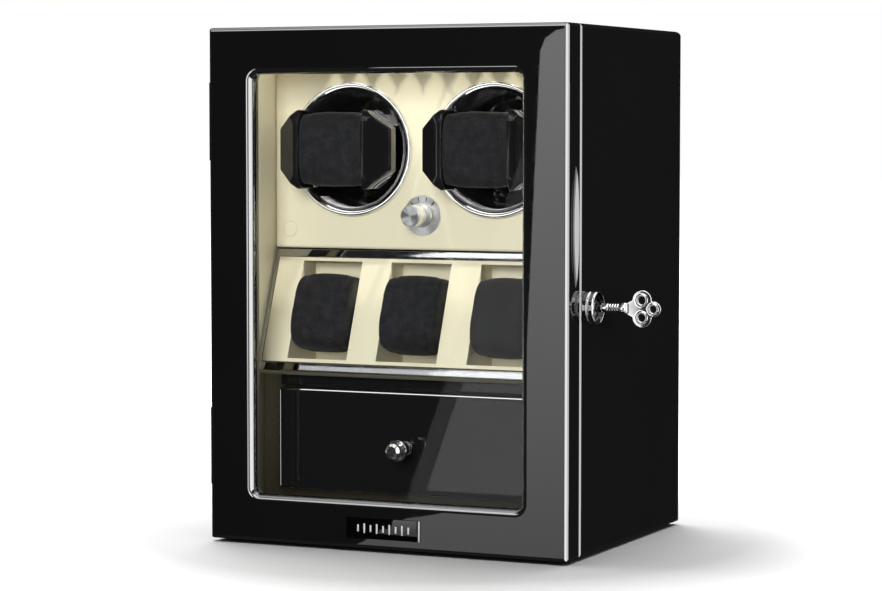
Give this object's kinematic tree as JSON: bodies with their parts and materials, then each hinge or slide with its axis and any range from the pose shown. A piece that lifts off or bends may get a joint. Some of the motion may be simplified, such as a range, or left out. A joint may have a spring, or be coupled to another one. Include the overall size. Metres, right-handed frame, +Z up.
{
  "type": "watch winder box",
  "caption": "Black lacquered cabinet with a glass door, turning watch cups behind a cream panel, a sloping watch storage tray, a drawer and a side key lock.",
  "frame": {"origin": "on the table under the centre of the box's footprint, door included", "axes": "+X to the right seen from the front, +Y to the back, so the door faces -Y, +Z up"},
  "size_m": [0.3034, 0.2008, 0.332],
  "materials": {
    "black_lacquer": "polished black piano lacquer",
    "cream_leatherette": "soft cream leatherette",
    "chrome": "polished",
    "brushed_aluminium": "spun and brushed",
    "zinc_steel": "plain",
    "brass": "satin",
    "gloss_black_plastic": "moulded gloss",
    "matte_black_plastic": "satin",
    "black_suede": "napped suede",
    "clear_glass": "clear float glass",
    "light_emitter": "warm white emitter",
    "white_board": "white circuit strip",
    "green_board": "circuit board",
    "nylon": "natural nylon",
    "black_rubber": "matte",
    "plain_wood": "birch plywood",
    "grey_felt": "short pile felt"
  },
  "bodies": {
    "cabinet": {"cabinet_shell": "black_lacquer", "back_panel": "matte_black_plastic", "back_screws": "zinc_steel", "base_pad": "black_suede", "linings": "cream_leatherette", "winder_panel": "cream_leatherette", "mid_shelf": "cream_leatherette", "tray_bezel": "black_lacquer", "storage_tray": "cream_leatherette", "storage_cushions": "black_suede", "drawer_surround": "cream_leatherette", "drawer_rail": "black_lacquer", "drawer_guides": "plain_wood", "led_strip": "white_board", "led_chips": "light_emitter", "bezel_rings": "chrome", "drive_plate": "plain_wood", "bushings": "brass", "gear_motor": "zinc_steel", "drive_belts": "black_rubber", "dial_plate": "brushed_aluminium", "rotary_switch": "matte_black_plastic", "control_board": "green_board", "button_switch": "matte_black_plastic", "dc_jack": "matte_black_plastic", "wiring": "matte_black_plastic", "hinge_leaves_body": "brass", "hinge_screws_body": "brass", "lock_housing": "chrome", "lock_nut": "zinc_steel"},
    "door": {"door_frame": "black_lacquer", "door_glass": "clear_glass", "glass_bead": "cream_leatherette", "badge": "gloss_black_plastic", "hinge_leaves_door": "brass", "hinge_screws_door": "brass", "strike_plate": "zinc_steel", "door_bumpers": "black_rubber"},
    "drawer": {"drawer_front": "black_lacquer", "drawer_box": "plain_wood", "drawer_lining": "grey_felt", "drawer_knob": "chrome", "knob_screw": "zinc_steel"},
    "turntable_left": {"cup_left": "gloss_black_plastic", "pillow_left": "black_suede", "pillow_caps_left": "gloss_black_plastic", "shaft_left": "zinc_steel", "pulley_left": "nylon"},
    "turntable_right": {"cup_right": "gloss_black_plastic", "pillow_right": "black_suede", "pillow_caps_right": "gloss_black_plastic", "shaft_right": "zinc_steel", "pulley_right": "nylon"},
    "motor_rotor": {"motor_pulley": "nylon"},
    "mode_dial": {"mode_knob": "brushed_aluminium"},
    "light_button": {"led_button": "cream_leatherette"},
    "lock_barrel": {"lock_plug": "zinc_steel", "lock_cam": "zinc_steel", "cam_screw": "zinc_steel"},
    "key": {"key": "chrome"}
  },
  "joints": [
    {"name": "door_hinge", "type": "hinge", "parent": "cabinet", "child": "door", "pos_m": [-0.1275, -0.0795, 0.167], "axis": [0, 0, -1], "range_deg": [0, 110]},
    {"name": "drawer_slide", "type": "slide", "parent": "cabinet", "child": "drawer", "axis": [0, -1, 0], "range_m": [0, 0.11]},
    {"name": "left_cup_spin", "type": "hinge", "parent": "cabinet", "child": "turntable_left", "pos_m": [-0.051, -0.041, 0.254], "axis": [0, 1, 0], "continuous": true},
    {"name": "right_cup_spin", "type": "hinge", "parent": "cabinet", "child": "turntable_right", "pos_m": [0.051, -0.041, 0.254], "axis": [0, 1, 0], "continuous": true},
    {"name": "motor_spin", "type": "hinge", "parent": "cabinet", "child": "motor_rotor", "pos_m": [0, 0.004, 0.254], "axis": [0, 1, 0], "continuous": true},
    {"name": "mode_turn", "type": "hinge", "parent": "cabinet", "child": "mode_dial", "pos_m": [0, -0.041, 0.2116], "axis": [0, 1, 0], "range_deg": [0, 90]},
    {"name": "light_press", "type": "slide", "parent": "cabinet", "child": "light_button", "axis": [0, 1, 0], "range_m": [0, 0.0012], "stiffness_N_per_m": 300},
    {"name": "key_turn", "type": "hinge", "parent": "cabinet", "child": "lock_barrel", "pos_m": [0.125, -0.0674, 0.157], "axis": [1, 0, 0], "range_deg": [0, 90]},
    {"name": "key_pull", "type": "slide", "parent": "lock_barrel", "child": "key", "axis": [1, 0, 0], "range_m": [0, 0.03]}
  ],
  "couplings": [
    {"joint": "drawer_slide", "follows": "door_hinge", "m_per_rad": 0.0572},
    {"joint": "right_cup_spin", "follows": "left_cup_spin", "ratio": 1},
    {"joint": "motor_spin", "follows": "left_cup_spin", "ratio": 2.5}
  ]
}
